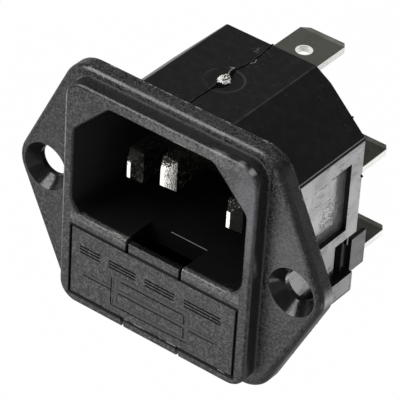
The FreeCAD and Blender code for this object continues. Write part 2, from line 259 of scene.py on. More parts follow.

# Marks on the grained front, mostly painted highlights and painted shade: where each lies, what breaks it up, how
# strong it is and its colour
grainMarks = dict(
    haze=dict(spot=((12.6, 8.6), (0.75, 0.38), 3.2, 2.2), front=-4.05, grain=(0.36, 0.60, 0.55, 1.0),
              colour=(0.125, 0.122, 0.136)),
    wingHighlight=dict(spot=((16.6, 3.6), (0.7, 0.28), 2.6, 2.0), depth=(-2.26, -2.1, 0.05),
              grain=(0.36, 0.60, 0.3, 0.8), colour=(0.11, 0.11, 0.108)),
    rounded=dict(front=(-4.12, -3.95), rear=(-2.3, 0.2), strength=0.8, colour=(0.009, 0.009, 0.009)),
    wingRimShade=dict(depth=(-2.16, -1.98), across=(13.0, 14.5), strength=0.7, colour=(0.006, 0.006, 0.006)),
    upperFaceHighlight=dict(height=(13.9, 15.0, 0.5), left=(-10.0, 4.0), right=(12.5, 2.0), front=-4.02,
                 grain=(0.40, 0.60, 0.15, 0.6), colour=(0.19, 0.19, 0.186)),
    edgeHighlight=dict(cloud=((1.3, 3.0, 0.6), (0.34, 0.58, 0.25, 1.0)), strength=0.6, colour=(0.10, 0.10, 0.097)),
    leftRimHighlight=dict(across=(-12.90, 0.2), front=(-3.7, 0.2), height=(-12.0, 11.0, 0.3, 1.0),
                 cloud=((1.6, 3.0, 0.6), (0.35, 0.55, 0.35, 1.0)), colour=(0.36, 0.36, 0.355)),
    spots=dict(broken=(((7.9, 14.9), (0.6, 2.8)), ((10.85, 14.95), (1.6, 2.8))),
               whole=((12.45, 14.72), (1.5, 1.7)), reach=(1.0, 0.7),
               cloud=((1.8, 2.0), (0.35, 0.55, 0.15, 0.5))),
    sill=dict(height=(-3.3, -2.5, 0.2), reach=12.0, notch=(3.6, 3.8), cloud=((4.2, 2.0), (0.46, 0.60, 0.1, 0.42))),
    shine=dict(front=-3.5, strength=0.8, colour=(0.36, 0.36, 0.35)),
    foot=dict(line=(0.10, 0.11, 0.06), depth=(-2.36, -2.1), cloud=((0.9, 2.0), (0.30, 0.44, 0.35, 1.0)),
              strength=0.4),
    flashAndHighlight=dict(depth=(-0.30, -0.14), cloud=((0.75, 3.0, 0.75), (0.54, 0.60)), colour=(0.24, 0.24, 0.235)))


def grainedFinish(s):
    look, marks = grainLook, grainMarks
    grain = s.math("ADD", s.math("MULTIPLY", s.noise(*look["fine"]), look["fineShare"]),
                   s.math("MULTIPLY", s.noise(*look["coarse"]), 1 - look["fineShare"]))
    patches = s.noise(*look["patches"])
    s.surface.inputs["IOR"].default_value = look["ior"]
    colour = s.mix(s.step(grain, *look["levels"]), look["dark"], look["light"])
    colour = s.mix(s.step(patches, *look["patchLift"]), colour, look["light"])
    # Painted sheen: a hazy, faintly violet highlight on the bezel's upper right, and a lighter patch painted on
    # the flange's wing beside it
    m = marks["haze"]
    haze = s.all(s.spot(s.x, s.z, *m["spot"]), s.below(s.y, m["front"]))
    colour = s.tint(colour, haze, s.step(grain, *m["grain"]), m["colour"])
    m = marks["wingHighlight"]
    wingHighlight = s.all(s.spot(s.x, s.z, *m["spot"]), s.inside(s.y, *m["depth"]))
    colour = s.tint(colour, wingHighlight, s.step(grain, *m["grain"]), m["colour"])
    # Painted shade: rounded edges and the bezel's walls are painted darker, and they are calmer than the faces
    m = marks["rounded"]
    edge = s.edges(look["edge"])
    rounded = s.any(edge, s.all(s.step(s.y, *m["front"]), s.below(s.y, *m["rear"])))
    colour = s.tint(colour, rounded, m["strength"], m["colour"])
    # Painted shade on the flange's rim to the right of the bezel
    m = marks["wingRimShade"]
    wingRimShade = s.all(s.step(s.y, *m["depth"]), s.step(s.x, *m["across"]))
    colour = s.tint(colour, wingRimShade, m["strength"], m["colour"])
    # Painted highlight: the face lightens towards the middle of the bezel's upper edge
    m = marks["upperFaceHighlight"]
    upperFaceHighlight = s.all(s.inside(s.z, *m["height"]), s.step(s.x, *m["left"]), s.below(s.x, *m["right"]),
                    s.below(s.y, m["front"]))
    colour = s.tint(colour, upperFaceHighlight, s.step(grain, *m["grain"]), m["colour"])
    # Painted highlight along the rounded edges, broken up by noise
    m = marks["edgeHighlight"]
    colour = s.tint(colour, s.all(edge, s.cloud(*m["cloud"])), m["strength"], m["colour"])
    # Painted highlight: the bezel's left rim is painted light along its whole length
    m = marks["leftRimHighlight"]
    leftRimHighlight = s.all(s.below(s.x, *m["across"]), s.below(s.y, *m["front"]), s.step(s.z, *m["height"]),
                    s.cloud(*m["cloud"]))
    colour = s.mix(leftRimHighlight, colour, m["colour"])
    # Painted highlights: bright spots on the bezel's upper edge, and granular light flecks on the sill under the
    # recess
    m = marks["spots"]
    broken = s.any(*[s.spot(s.x, s.z, *place, *m["reach"]) for place in m["broken"]])
    spots = s.any(s.all(broken, s.cloud(*m["cloud"])), s.spot(s.x, s.z, *m["whole"], *m["reach"]))
    m = marks["sill"]
    sill = s.all(s.inside(s.z, *m["height"]), s.below(s.width, m["reach"]), s.step(s.width, *m["notch"]),
                 s.cloud(*m["cloud"]))
    m = marks["shine"]
    shine = s.all(s.any(spots, sill), s.below(s.y, m["front"]))
    colour = s.tint(colour, shine, m["strength"], m["colour"])
    # A fine painted highlight round the foot of the bezel, and ragged flash along the flange's rear edge, painted
    # light as an edge highlight
    m = marks["foot"]
    foot = s.all(s.near(bezelDistance(s), *m["line"]), s.inside(s.y, *m["depth"]), s.cloud(*m["cloud"]))
    foot = s.math("MULTIPLY", foot, m["strength"])
    m = marks["flashAndHighlight"]
    flashAndHighlight = s.all(s.step(s.y, *m["depth"]), s.cloud(*m["cloud"]))
    colour = s.mix(s.any(foot, flashAndHighlight), colour, m["colour"])
    # Painted shade in the gap round the drawer's plate
    gap = plateGapLine(s, *look["gap"])
    colour = s.mix(gap, colour, look["gapShade"])
    rough = s.blend(edge, s.step(patches, *look["patchRough"]), look["edgeRough"])
    rough = s.blend(gap, rough, look["gapRough"])
    calm = s.any(edge, s.math("MULTIPLY", s.step(s.y, *look["calmRim"]), look["calmShare"]))
    return colour, rough, s.bump(grain, look["depth"], s.blend(calm, 1.0, look["calmBump"]))


# dustAndSheen colours real dust specks, and also the painted highlight along the top's crease
smoothLook = dict(black=(0.0085, 0.0085, 0.009), grey=(0.013, 0.013, 0.014), mottle=((0.9, 4.0, 0.65), (0.4, 0.7)),
                  mottleRough=(0.0, 1.0, 0.13, 0.20), dustAndSheen=(0.17, 0.17, 0.16),
                  waves=(0.28, 2.0), waveDepth=(0.03, 0.4))

# The recess and the bay: painted light on the walls, over a floor in painted shade
innerLook = dict(width=12.25, depth=13.5, top=13.7, cut=21.3, floorTop=(-2.3, 0.0), walls=(0.028, 0.028, 0.028),
                 floor=(0.007, 0.007, 0.007))

specksLook = dict(height=(8.0, 8.6), depth=(0.0, 0.1), cells=1.5, reach=(0.22, 0.16), strength=0.34,
                  clouds=(((0.45, 1.0), (0.46, 0.58)), ((4.0, 2.0), (0.45, 0.6))))

# The sides and the pockets in them, more satin than the rest
flankLook = dict(width=(12.3, 12.5), shoulder=22.35, satin=(0.3, 0.7, 0.21, 0.31),
                 pocket=(13.0, 0.2), pocketSatin=-0.10, liftRear=(11.9, 12.6), liftLow=(-1.1, 0.6),
                 liftEnd=(-2.6, -2.3), liftMottle=(0.0, 1.0, 0.7, 1.0), lift=(0.24, 0.24, 0.235),
                 grain=(2.6, 3.0, 0.65), grainDepth=0.010,
                 scuff=((11.2, 0.9), (0.8, 0.8), 1.9, 1.2), scuffCloud=((2.2, 3.0, 0.7), (0.50, 0.58)),
                 scuffLie=((1, 0.6, 1.8), (35, 0, 0)), scuffStrength=0.7, scuffed=(0.62, 0.62, 0.60),
                 scuffDepth=0.03,
                 hair=(1.6, 3.0, 0.6), hairLie=((1, 0.16, 3.4), (38, 0, 0)), hairLine=(0.5, 0.012, 0.012),
                 hairCloud=((0.3, 2.0), (0.45, 0.60)), hairDepth=(0.010, 0.8),
                 cornerHeight=(8.75, 9.5), cornerWidth=(13.4, 13.5), cornerDepth=-0.36,
                 rimLine=(6.71, 0.12, 0.06), rimWidth=(12.55, 12.85), rimRough=0.85)

# Gate ring and scuff on the top of the body, and a painted highlight along the crease
topLook = dict(height=(15.2, 15.35), gate=(0.3, 6.7), ring=(2.3, 0.20, 0.17), creaseHighlight=(6.15, 0.14, 0.10),
               clouds=(((0.5, 2.0), (0.3, 0.6, 0.35, 1.0)), ((0.5, 2.0), (0.3, 0.6, 0.45, 1.0)),
                       ((3.2, 3.0, 0.7), (0.50, 0.60))),
               scuff=((-0.1, 13.9), (0.9, 1.3), 1.2, 0.8), strengths=(0.20, 0.20, 0.5), rough=0.5)


def smoothFinish(s, marked):
    look, well, dots, side, crown = smoothLook, innerLook, specksLook, flankLook, topLook
    mottle = s.cloud(*look["mottle"])
    corners = s.math("ADD", s.width, s.z)
    colour = s.mix(mottle, look["black"], look["grey"])
    # Painted light on the walls of the recess and the bay, painted shade on their floor
    inner = s.all(s.below(s.width, well["width"]), s.below(s.y, well["depth"]), s.below(s.z, well["top"]),
                  s.below(corners, well["cut"]))
    colour = s.mix(inner, colour, s.mix(s.step(s.z, *well["floorTop"]), well["floor"], well["walls"]))
    specks = s.all(s.below(s.cells(dots["cells"]), *dots["reach"]), *[s.cloud(*cloud) for cloud in dots["clouds"]],
                   s.step(s.z, *dots["height"]), s.step(s.y, *dots["depth"]))
    colour = s.tint(colour, specks, dots["strength"], look["dustAndSheen"])
    # The pocket's rear and lower parts are lighter, and its floor is scuffed
    flank = s.all(s.step(s.width, *side["width"]), s.below(corners, side["shoulder"]))
    pocket = s.all(flank, s.below(s.width, *side["pocket"]))
    lift = s.all(pocket, s.any(s.step(s.y, *side["liftRear"]), s.below(s.z, *side["liftLow"])),
                 s.step(s.z, *side["liftEnd"]))
    colour = s.tint(colour, lift, s.step(mottle, *side["liftMottle"]), side["lift"])
    scuffed = s.all(pocket, s.spot(s.y, s.z, *side["scuff"]),
                    s.cloud(*side["scuffCloud"], s.stretch(*side["scuffLie"])))
    colour = s.tint(colour, scuffed, side["scuffStrength"], side["scuffed"])
    hair = s.noise(*side["hair"], s.stretch(*side["hairLie"]))
    scratch = s.all(s.near(hair, *side["hairLine"]), s.cloud(*side["hairCloud"]), flank)
    waves = s.noise(*look["waves"])
    satin = s.math("ADD", s.step(waves, *side["satin"]), s.math("MULTIPLY", pocket, side["pocketSatin"]))
    rough = s.blend(flank, s.step(mottle, *look["mottleRough"]), satin)
    normal = s.bump(waves, *look["waveDepth"])
    normal = s.bump(scratch, *side["hairDepth"], normal)
    normal = s.bump(s.all(s.noise(*side["grain"]), flank), side["grainDepth"], 1.0, normal)
    normal = s.bump(scuffed, side["scuffDepth"], 1.0, normal)
    # The side's upper corner is a little rounded, and the pocket's upper rim is dull
    corner = s.all(s.step(s.z, *side["cornerHeight"]), s.step(s.width, *side["cornerWidth"]))
    normal = s.bump(corner, side["cornerDepth"], 1.0, normal)
    rim = s.all(s.near(s.z, *side["rimLine"]), s.inside(s.width, *side["rimWidth"]))
    rough = s.blend(rim, rough, side["rimRough"])
    if not marked:
        return colour, rough, normal
    # The crease line is a painted highlight; the gate ring and scuff are pale marks
    shapes = (s.near(s.round(s.x, s.y, crown["gate"]), *crown["ring"]), s.near(s.x, *crown["creaseHighlight"]),
              s.spot(s.x, s.y, *crown["scuff"]))
    top = s.step(s.z, *crown["height"])
    marks = [s.all(shape, top, s.cloud(*cloud)) for shape, cloud in zip(shapes, crown["clouds"])]
    pale = s.any(*[s.math("MULTIPLY", mark, strength) for mark, strength in zip(marks, crown["strengths"])])
    return s.mix(pale, colour, look["dustAndSheen"]), s.blend(s.any(*marks), rough, crown["rough"]), normal


# The outer front comes grained from the tool; the recess, the bay and all behind the panel come smooth.
# The mouth is where the recess begins: two heights, then the depth under the first and over the second.
zones = dict(inner=12.25, recess=(-2.72, 13.75), mouth=(-2.35, -2.2, -3.35, -3.9), mouthSoft=(-0.05, 0.1),
             bay=(-14.6, 13.75), bayFront=(-3.0, -2.9), behind=(-0.06, 0.0), sinkSoft=0.03, cone=-0.1,
             coneRough=((0.8, 2.0), (0.3, 0.7, 0.10, 0.17)))


def mouldingMaterial(name, marked):
    s = Shader(name)
    inner = s.below(s.width, zones["inner"])
    intoMouth = s.math("SUBTRACT", s.y, s.step(s.z, *zones["mouth"]))
    recess = s.all(inner, s.inside(s.z, *zones["recess"]), s.step(intoMouth, *zones["mouthSoft"]))
    bay = s.all(inner, s.inside(s.z, *zones["bay"]), s.step(s.y, *zones["bayFront"]))
    fromScrew = s.round(s.width, s.z, (outline["screwX"], 0))
    sink = s.below(fromScrew, outline["sinkRadius"], zones["sinkSoft"])
    smooth = s.any(recess, bay, sink, s.step(s.y, *zones["behind"]))
    first, second = grainedFinish(s), smoothFinish(s, marked)
    cone = s.all(sink, s.below(s.y, zones["cone"]))
    rough = s.blend(cone, s.blend(smooth, first[1], second[1]), s.cloud(*zones["coneRough"]))
    return s.finish(s.mix(smooth, first[0], second[0]), rough, s.blendNormal(smooth, first[2], second[2]))


# The sign for a fuse, sunk into the drawer's front, with four groups of plain rules over it
sign = dict(middle=(0.0, -10.27), half=(5.13, 1.9), barLeft=-9.5, barRight=9.0, stroke=(0.31, 0.08), depth=0.14,
            front=-4.05, strength=0.8, colour=(0.036, 0.036, 0.035), face=-4.17,
            walls=(((-5.72, -8.75), (-5.72, -12.4), (-5.5, -12.65), (-5.1, -12.6), (5.2, -12.45)),
                   ((-4.33, -8.78), (4.57, -8.78)), ((4.68, -8.84), (4.68, -9.95)),
                   ((4.68, -10.54), (4.68, -11.98)), ((-4.68, -10.55), (4.53, -10.55)),
                   ((-9.6, -10.46), (-9.3, -10.5), (-5.71, -10.5)), ((5.53, -10.53), (9.0, -10.53))),
            wallHalf=0.075, rules=((-10.4, -7.5), (-6.2, -2.3), (-1.0, 3.15), (4.6, 9.7)),
            ruleHeights=(-6.6, -7.02, -7.44), ruleHalf=0.115, ruleSunk=0.03, sides=8)


def sunkSign(s):
    g = sign
    across = s.math("SUBTRACT", s.apart(s.x, g["middle"][0]), g["half"][0])
    up = s.math("SUBTRACT", s.apart(s.z, g["middle"][1]), g["half"][1])
    box = s.math("ABSOLUTE", s.any(across, up))
    centre = (g["barLeft"] + g["barRight"]) / 2
    beyond = s.math("SUBTRACT", s.apart(s.x, centre), g["barRight"] - centre)
    bar = s.any(s.apart(s.z, g["middle"][1]), beyond)
    return s.below(s.math("MINIMUM", box, bar), *g["stroke"])


drawerLook = dict(behind=(-3.95, -3.8), highlightBand=(-13.74, -13.60, 0.05), highlightCloud=((1.1, 3.0, 0.7), (0.44, 0.56)),
                  edgeHighlight=(0.20, 0.20, 0.195))


def drawerMaterial():
    s = Shader("blackDrawer")
    look = drawerLook
    colour, rough, normal = grainedFinish(s)
    sunk = s.all(sunkSign(s), s.below(s.y, sign["front"]))
    colour = s.tint(colour, sunk, sign["strength"], sign["colour"])
    normal = s.bump(sunk, -sign["depth"], 1.0, normal)
    # Painted highlight along the lower edge of the plate
    colour = s.mix(s.all(s.inside(s.z, *look["highlightBand"]), s.cloud(*look["highlightCloud"])), colour, look["edgeHighlight"])
    smooth = s.step(s.y, *look["behind"])
    second = smoothFinish(s, False)
    return s.finish(s.mix(smooth, colour, second[0]), s.blend(smooth, rough, second[1]),
                    s.blendNormal(smooth, normal, second[2]))


# The carrier is drawn dull below its rear face
carrierLook = dict(drawn=(1.2, 3.0, 0.6), lie=(1, 0.15, 4), rear=15.2, rough=(0.3, 0.7, 0.40, 0.52), share=0.9,
                   depth=0.03)


def carrierMaterial():
    s = Shader("blackCarrier")
    look = carrierLook
    colour, rough, normal = smoothFinish(s, False)
    drawn = s.noise(*look["drawn"], s.stretch(look["lie"]))
    rough = s.blend(s.below(s.y, look["rear"]), s.step(drawn, *look["rough"]), look["share"])
    return s.finish(colour, rough, s.bump(drawn, look["depth"], 1.0, normal))


metalLook = dict(blot=(4.0, 0.65), blotLevels=(0.35, 0.68), roughLevels=(0.3, 0.7), roughSpread=(0.06, 0.08),
                 pits=(2.6, 3.0, 0.7), pitSoft=0.05, pitColour=(0.03, 0.028, 0.022), pitStrength=0.85,
                 pitRough=0.3, pitDepth=0.8, fine=(5.0, 3.0, 0.7), sheenNearBody=(0.88, 0.87, 0.82),
                 ring=(1.05, 0.05), ringLight=(0.97, 0.97, 0.95), ringRough=0.3,
                 worn=(0.95, 0.94, 0.9), wornSoft=(0.85, 0.99), wornStrength=0.6,
                 cut=(0.06, 0.02), cutLight=(0.98, 0.98, 0.94))


def metalMaterial(name, colour, dark, rough, blotch, specks, grain=0.012, sheenNearBody=None, hole=None, edge=None,
                  side=None):
    s = Shader(name)
    look = metalLook
    blot = s.noise(blotch, *look["blot"])
    pit = s.cloud(look["pits"], (specks, specks + look["pitSoft"]))
    fine = s.noise(*look["fine"])
    base = s.mix(s.step(blot, *look["blotLevels"]), colour, dark)
    base = s.tint(base, pit, look["pitStrength"], look["pitColour"])
    less, more = look["roughSpread"]
    rough = s.math("ADD", s.step(blot, *look["roughLevels"], rough - less, rough + more),
                   s.math("MULTIPLY", pit, look["pitRough"]))
    if sheenNearBody:  # painted sheen: lighter towards the body and duller, from one depth to another
        fade = s.step(s.y, *sheenNearBody[:2], 1.0, 0.0)
        base = s.mix(fade, base, look["sheenNearBody"])
        rough = s.math("ADD", rough, s.math("MULTIPLY", fade, sheenNearBody[2]))
    bump = s.bump(s.math("SUBTRACT", fine, s.math("MULTIPLY", pit, look["pitDepth"])), grain)
    metallic = 1.0
    if hole:  # painted highlight: the latch hole's wall painted bright white, not metallic
        ring = s.below(s.round(s.x, s.y, hole), *look["ring"])
        base = s.mix(ring, base, look["ringLight"])
        rough = s.blend(ring, rough, look["ringRough"])
        metallic = s.math("SUBTRACT", 1.0, ring)
    if edge:
        base = s.tint(base, s.edges(edge, look["wornSoft"]), look["wornStrength"], look["worn"])
    if side:  # the sheared edge on the right
        cut = s.step(s.x, *[side - inset for inset in look["cut"]])
        base = s.mix(cut, base, look["cutLight"])
        metallic = s.math("MINIMUM", metallic, s.math("SUBTRACT", 1.0, cut))
    return s.finish(base, rough, bump, metallic)


glassLook = dict(haze=(0.6, 2.0), colours=((0.93, 0.96, 0.95), (0.99, 1.0, 1.0)), rough=(0.3, 0.7, 0.01, 0.05),
                 depth=(0.01, 0.4), ior=1.5)


def glassMaterial():
    s = Shader("fuseGlass")
    haze = s.noise(*glassLook["haze"])
    s.surface.inputs["IOR"].default_value = glassLook["ior"]
    s.surface.inputs["Transmission Weight"].default_value = 1.0
    return s.finish(s.mix(haze, *glassLook["colours"]), s.step(haze, *glassLook["rough"]),
                    s.bump(haze, *glassLook["depth"]))


tabTin = dict(colour=(0.26, 0.26, 0.225), dark=(0.17, 0.17, 0.145), rough=0.36, blotch=0.9, specks=0.68)
metals = dict(
    earth_tab=dict(name="tinnedEarthTab", colour=(0.50, 0.50, 0.45), dark=(0.36, 0.36, 0.31), rough=0.36,
                   blotch=0.5, specks=0.70, sheenNearBody=(15.8, 20.0, 0.25), hole=(0, 22.4), side=3.15),
    neutral_tab=dict(name="tinnedNeutralTab", **tabTin, side=10.15),
    line_tab=dict(name="tinnedLineTab", **tabTin, side=11.65),
    link=dict(name="tinnedTabs", **tabTin),
    pin=dict(name="nickelPins", colour=(0.99, 0.98, 0.94), dark=(0.82, 0.79, 0.71), rough=0.09, blotch=2.2,
             specks=0.60, grain=0.018, edge=0.12),
    clip=dict(name="tinnedClips", colour=(0.62, 0.60, 0.52), dark=(0.42, 0.40, 0.34), rough=0.30, blotch=0.9,
              specks=0.66),
    cap=dict(name="nickelCaps", colour=(0.75, 0.74, 0.71), dark=(0.55, 0.54, 0.5), rough=0.2, blotch=1.2,
             specks=0.68),
    wire=dict(name="fuseWire", colour=(0.7, 0.7, 0.68), dark=(0.5, 0.5, 0.48), rough=0.3, blotch=1.2,
              specks=0.7))

# A word in a node's name picks its material
materials = dict(housing=mouldingMaterial("blackMoulding", True), carrier=carrierMaterial(),
                 drawer=drawerMaterial(), tube=glassMaterial())
materials.update({word: metalMaterial(**settings) for word, settings in metals.items()})
for node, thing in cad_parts.items():
    thing.data.materials.clear()
    thing.data.materials.append(next(material for word, material in materials.items() if word in node))
print("finishes laid on", len(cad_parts), "nodes")

# Torn and rubbed plastic, and the black of pits and painted shade: noise and its levels, colours, roughness and
# depth
raggedLooks = dict(
    tornStub=dict(texture=(1.6, 4.0, 0.7), lie=((2.2, 0.7, 1.5), (0, 0, 12)), levels=(0.42, 0.50),
                  dark=(0.03, 0.03, 0.028), light=(0.92, 0.91, 0.87), rough=0.6, depth=0.12),
    darkPitAndShade=dict(texture=(2.5, 3.0, 0.7), dark=(0.0005, 0.0005, 0.0005), light=(0.006, 0.006, 0.006), rough=0.8,
                 depth=0.05, specular=0.05),
    knitBank=dict(texture=(1.2, 3.0, 0.6), levels=(0.42, 0.6), dark=(0.010, 0.010, 0.010),
                  light=(0.05, 0.05, 0.05), rough=0.4, depth=0.03),
    rubbedEdge=dict(texture=(3.0, 3.0, 0.6), dark=(0.10, 0.10, 0.10), light=(0.42, 0.42, 0.41),
                    roughLevels=(0.3, 0.7, 0.3, 0.55), depth=0.03))


def raggedMaterial(name, texture, dark, light, depth, rough=None, roughLevels=None, levels=None, lie=None,
                   specular=None):
    s = Shader(name)
    rag = s.noise(*texture, s.stretch(*lie) if lie else None)
    if specular is not None:
        s.surface.inputs["Specular IOR Level"].default_value = specular
    return s.finish(s.mix(s.step(rag, *levels) if levels else rag, dark, light),
                    s.step(rag, *roughLevels) if roughLevels else rough, s.bump(rag, depth))


tornStub, darkPitAndShade, knitBank, rubbedEdge = [raggedMaterial(name, **look) for name, look in raggedLooks.items()]


def addPiece(name, mesh, body, material):
    piece = addObject(name, mesh)
    mesh.materials.clear()
    mesh.materials.append(material)
    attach(piece, body)
    return piece


def meshFrom(mesh, name):
    data = bpy.data.meshes.new(name)
    mesh.to_mesh(data)
    mesh.free()
    return data


def startTree(name, sizes, result):
    tree = bpy.data.node_groups.new(name, "GeometryNodeTree")
    sockets = {}
    for label, kind in (("Path", "Geometry"), *sizes, ("Finish", "Material")):
        made = tree.interface.new_socket(label, in_out="INPUT", socket_type="NodeSocket" + kind)
        sockets[label] = made.identifier
    tree.interface.new_socket(result, in_out="OUTPUT", socket_type="NodeSocketGeometry")
    given = tree.nodes.new("NodeGroupInput")
    path = tree.nodes.new("GeometryNodeMeshToCurve")
    tree.links.new(given.outputs["Path"], path.inputs["Mesh"])
    return tree, sockets, given, path.outputs[0]


def endTree(tree, given, shape):
    real = tree.nodes.new("GeometryNodeRealizeInstances")
    finish = tree.nodes.new("GeometryNodeSetMaterial")
    out = tree.nodes.new("NodeGroupOutput")
    tree.links.new(shape, real.inputs[0])
    tree.links.new(real.outputs[0], finish.inputs["Geometry"])
    tree.links.new(given.outputs["Finish"], finish.inputs["Material"])
    tree.links.new(finish.outputs[0], out.inputs[0])


# A round bead swept along the path
def ridgeTree():
    tree, sockets, given, path = startTree("raisedRidge", (("Radius", "Float"), ("Sides", "Int")), "Ridge")
    profile = tree.nodes.new("GeometryNodeCurvePrimitiveCircle")
    sweep = tree.nodes.new("GeometryNodeCurveToMesh")
    sweep.inputs["Fill Caps"].default_value = True
    tree.links.new(given.outputs["Radius"], profile.inputs["Radius"])
    tree.links.new(given.outputs["Sides"], profile.inputs["Resolution"])
    tree.links.new(path, sweep.inputs["Curve"])
    tree.links.new(profile.outputs[0], sweep.inputs["Profile Curve"])
    endTree(tree, given, sweep.outputs[0])
    return tree, sockets


raisedRidge = ridgeTree()


def growAlong(paths, treeAndSockets, settings):
    tree, sockets = treeAndSockets
    mesh = bmesh.new()
    for path in paths:
        verts = [mesh.verts.new(point(*place)) for place in path]
        for first, second in zip(verts, verts[1:]):
            mesh.edges.new((first, second))
    holder = addObject("holder", meshFrom(mesh, "holder"))
    modifier = holder.modifiers.new("grow", "NODES")
    modifier.node_group = tree
    for name, value in settings.items():
        modifier[sockets[name]] = value
    graph = bpy.context.evaluated_depsgraph_get()
    grown = bpy.data.meshes.new_from_object(holder.evaluated_get(graph))
    holder.modifiers.remove(modifier)
    bpy.data.objects.remove(holder)
    return grown


def ridge(paths, half, sides, finish):
    return growAlong(paths, raisedRidge, {"Radius": half * mm, "Sides": sides, "Finish": finish})


# What is left of the gate, torn off white, the torn hollows beside it laid as black patches of painted shade, and
# the knit line that runs through it
gate = dict(face=15.5, around=90, rings=7, sunk=0.02, baseSunk=0.06, rimScale=6, lumpScale=3.5, lumpShare=1.6,
            leastLump=0.2, stubShape=(0.34, 0.3), hollowShape=(0.035, 0.12), lineSunk=0.035, lineSides=10,
            knitHalf=0.11, bankHalf=0.05, bankShift=-0.16, lipHalf=0.07,
            stub=((-0.5, 6.45), (-0.5, 7.3), (-0.3, 7.85), (-0.05, 8.05), (0.5, 7.6), (0.86, 7.2), (0.98, 6.5),
                  (0.85, 6.1), (0.42, 6.0), (-0.12, 6.08)),
            hollows=(((0.04, 8.06), (-0.27, 8.6), (-0.22, 8.96), (0.06, 9.16), (0.22, 8.74), (0.32, 8.32),
                      (0.66, 7.61), (1.1, 7.0), (0.39, 7.4)),
                     ((0.38, 5.02), (0.07, 5.35), (-0.03, 5.76), (0.0, 6.3), (0.44, 6.3), (0.83, 6.3), (1.23, 6.5),
                      (1.11, 6.09), (1.04, 5.63), (0.79, 5.4), (0.66, 5.08))),
            knit=(((0.15, 0.08), (0.19, 1.0), (0.17, 2.5), (0.23, 3.46), (0.25, 4.68), (0.2, 5.6)),
                  ((-0.11, 8.4), (0.0, 9.2), (0.25, 10.17), (0.35, 11.32), (0.56, 11.81), (0.33, 12.42),
                   (0.34, 13.48), (0.2, 14.78), (0.14, 15.7))),
            lips=(((-0.13, 8.07), (-0.33, 8.55), (-0.36, 8.93), (-0.29, 9.41)), ((-0.75, 9.09), (-0.27, 9.4)),
                  ((0.42, 11.2), (0.75, 11.7), (0.5, 12.3))))


def raggedPatch(mesh, corners, height, rag):
    g = gate
    corners = [Vector((x, y, 0)) for x, y in corners]
    centre = sum(corners, Vector()) / len(corners)
    rim = []
    for number in range(g["around"]):
        along = number / g["around"] * len(corners)
        first, second = corners[int(along)], corners[(int(along) + 1) % len(corners)]
        place = first.lerp(second, along % 1)
        rim.append(place + (place - centre) * rag * noise.fractal(place * g["rimScale"], 1.0, 2.0, 3))
    rows = []
    for ring in range(g["rings"]):
        share = 1 - ring / g["rings"]
        row = []
        for place in rim:
            spot = centre + (place - centre) * share
            lump = 1 + g["lumpShare"] * rag * noise.fractal(spot * g["lumpScale"], 1.0, 2.0, 4)
            spot.z = g["face"] - g["sunk"] + height * (1 - share ** 3) * max(g["leastLump"], lump)
            row.append(mesh.verts.new(spot * mm))
        rows.append(row)
    base = mesh.verts.new((centre + Vector((0, 0, g["face"] - g["baseSunk"]))) * mm)
    crown = mesh.verts.new((centre + Vector((0, 0, g["face"] - g["sunk"] + height))) * mm)
    for number in range(g["around"]):
        following = (number + 1) % g["around"]
        for outer, inner in zip(rows, rows[1:]):
            mesh.faces.new((outer[number], outer[following], inner[following], inner[number]))
        mesh.faces.new((rows[-1][number], rows[-1][following], crown))
        mesh.faces.new((rows[0][following], rows[0][number], base))


def makeGate():
    g = gate
    for name, outlines, shape, finish in (("gateStub", [g["stub"]], g["stubShape"], tornStub),
                                          ("gateHollows", g["hollows"], g["hollowShape"], darkPitAndShade)):
        mesh = bmesh.new()
        for corners in outlines:
            raggedPatch(mesh, corners, *shape)
        addPiece(name, meshFrom(mesh, name), "inlet_body", finish)
    for name, lines, half, shift, finish in (("knitLine", g["knit"], g["knitHalf"], 0.0, darkPitAndShade),
                                             ("knitBank", g["knit"], g["bankHalf"], g["bankShift"], knitBank),
                                             ("gateLips", g["lips"], g["lipHalf"], 0.0, rubbedEdge)):
        paths = [[(x + shift, y, g["face"] - g["lineSunk"]) for x, y in line] for line in lines]
        grown = ridge(paths, half, g["lineSides"], finish)
        addPiece(name, grown, "inlet_body", finish)


# Burrs and nubs that the knife left: start, end, half-thickness
burrs = dict(pale=(((-5.9, -4.08, -2.42), (-4.3, -4.1, -2.44), 0.07),
                   ((9.7, -4.19, -13.70), (10.8, -4.19, -13.78), 0.045)),
             dark=(((11.56, 15.72, 11.03), (11.60, 15.80, 11.10), 0.12),
                   ((13.52, 15.68, 4.1), (13.6, 15.8, 3.9), 0.13),
                   ((13.95, -0.5, -15.1), (14.6, -0.4, -14.3), 0.24),
                   ((0.0, 15.72, 15.5), (0.15, 15.86, 15.56), 0.10)),
             rag=0.35, ragScale=2.3, segments=12, rings=9)


def makeBurrs():
    b = burrs
    for name, places, finish in (("paleBurrs", b["pale"], rubbedEdge), ("darkBurrs", b["dark"], darkPitAndShade)):
        mesh = bmesh.new()
        for start, end, half in places:
            start, end = Vector(start), Vector(end)
            along = end - start
            made = bmesh.ops.create_uvsphere(mesh, u_segments=b["segments"], v_segments=b["rings"], radius=1)
            turn = along.to_track_quat("Z", "Y").to_matrix()
            for vert in made["verts"]:
                lump = 1 + b["rag"] * noise.fractal(vert.co * b["ragScale"] + start, 1.0, 2.0, 3)
                shaped = Vector((vert.co.x * half * lump, vert.co.y * half * lump,
                                 vert.co.z * (along.length / 2 + half)))
                vert.co = ((start + end) / 2 + turn @ shaped) * mm
        addPiece(name, meshFrom(mesh, name), "inlet_body", finish)


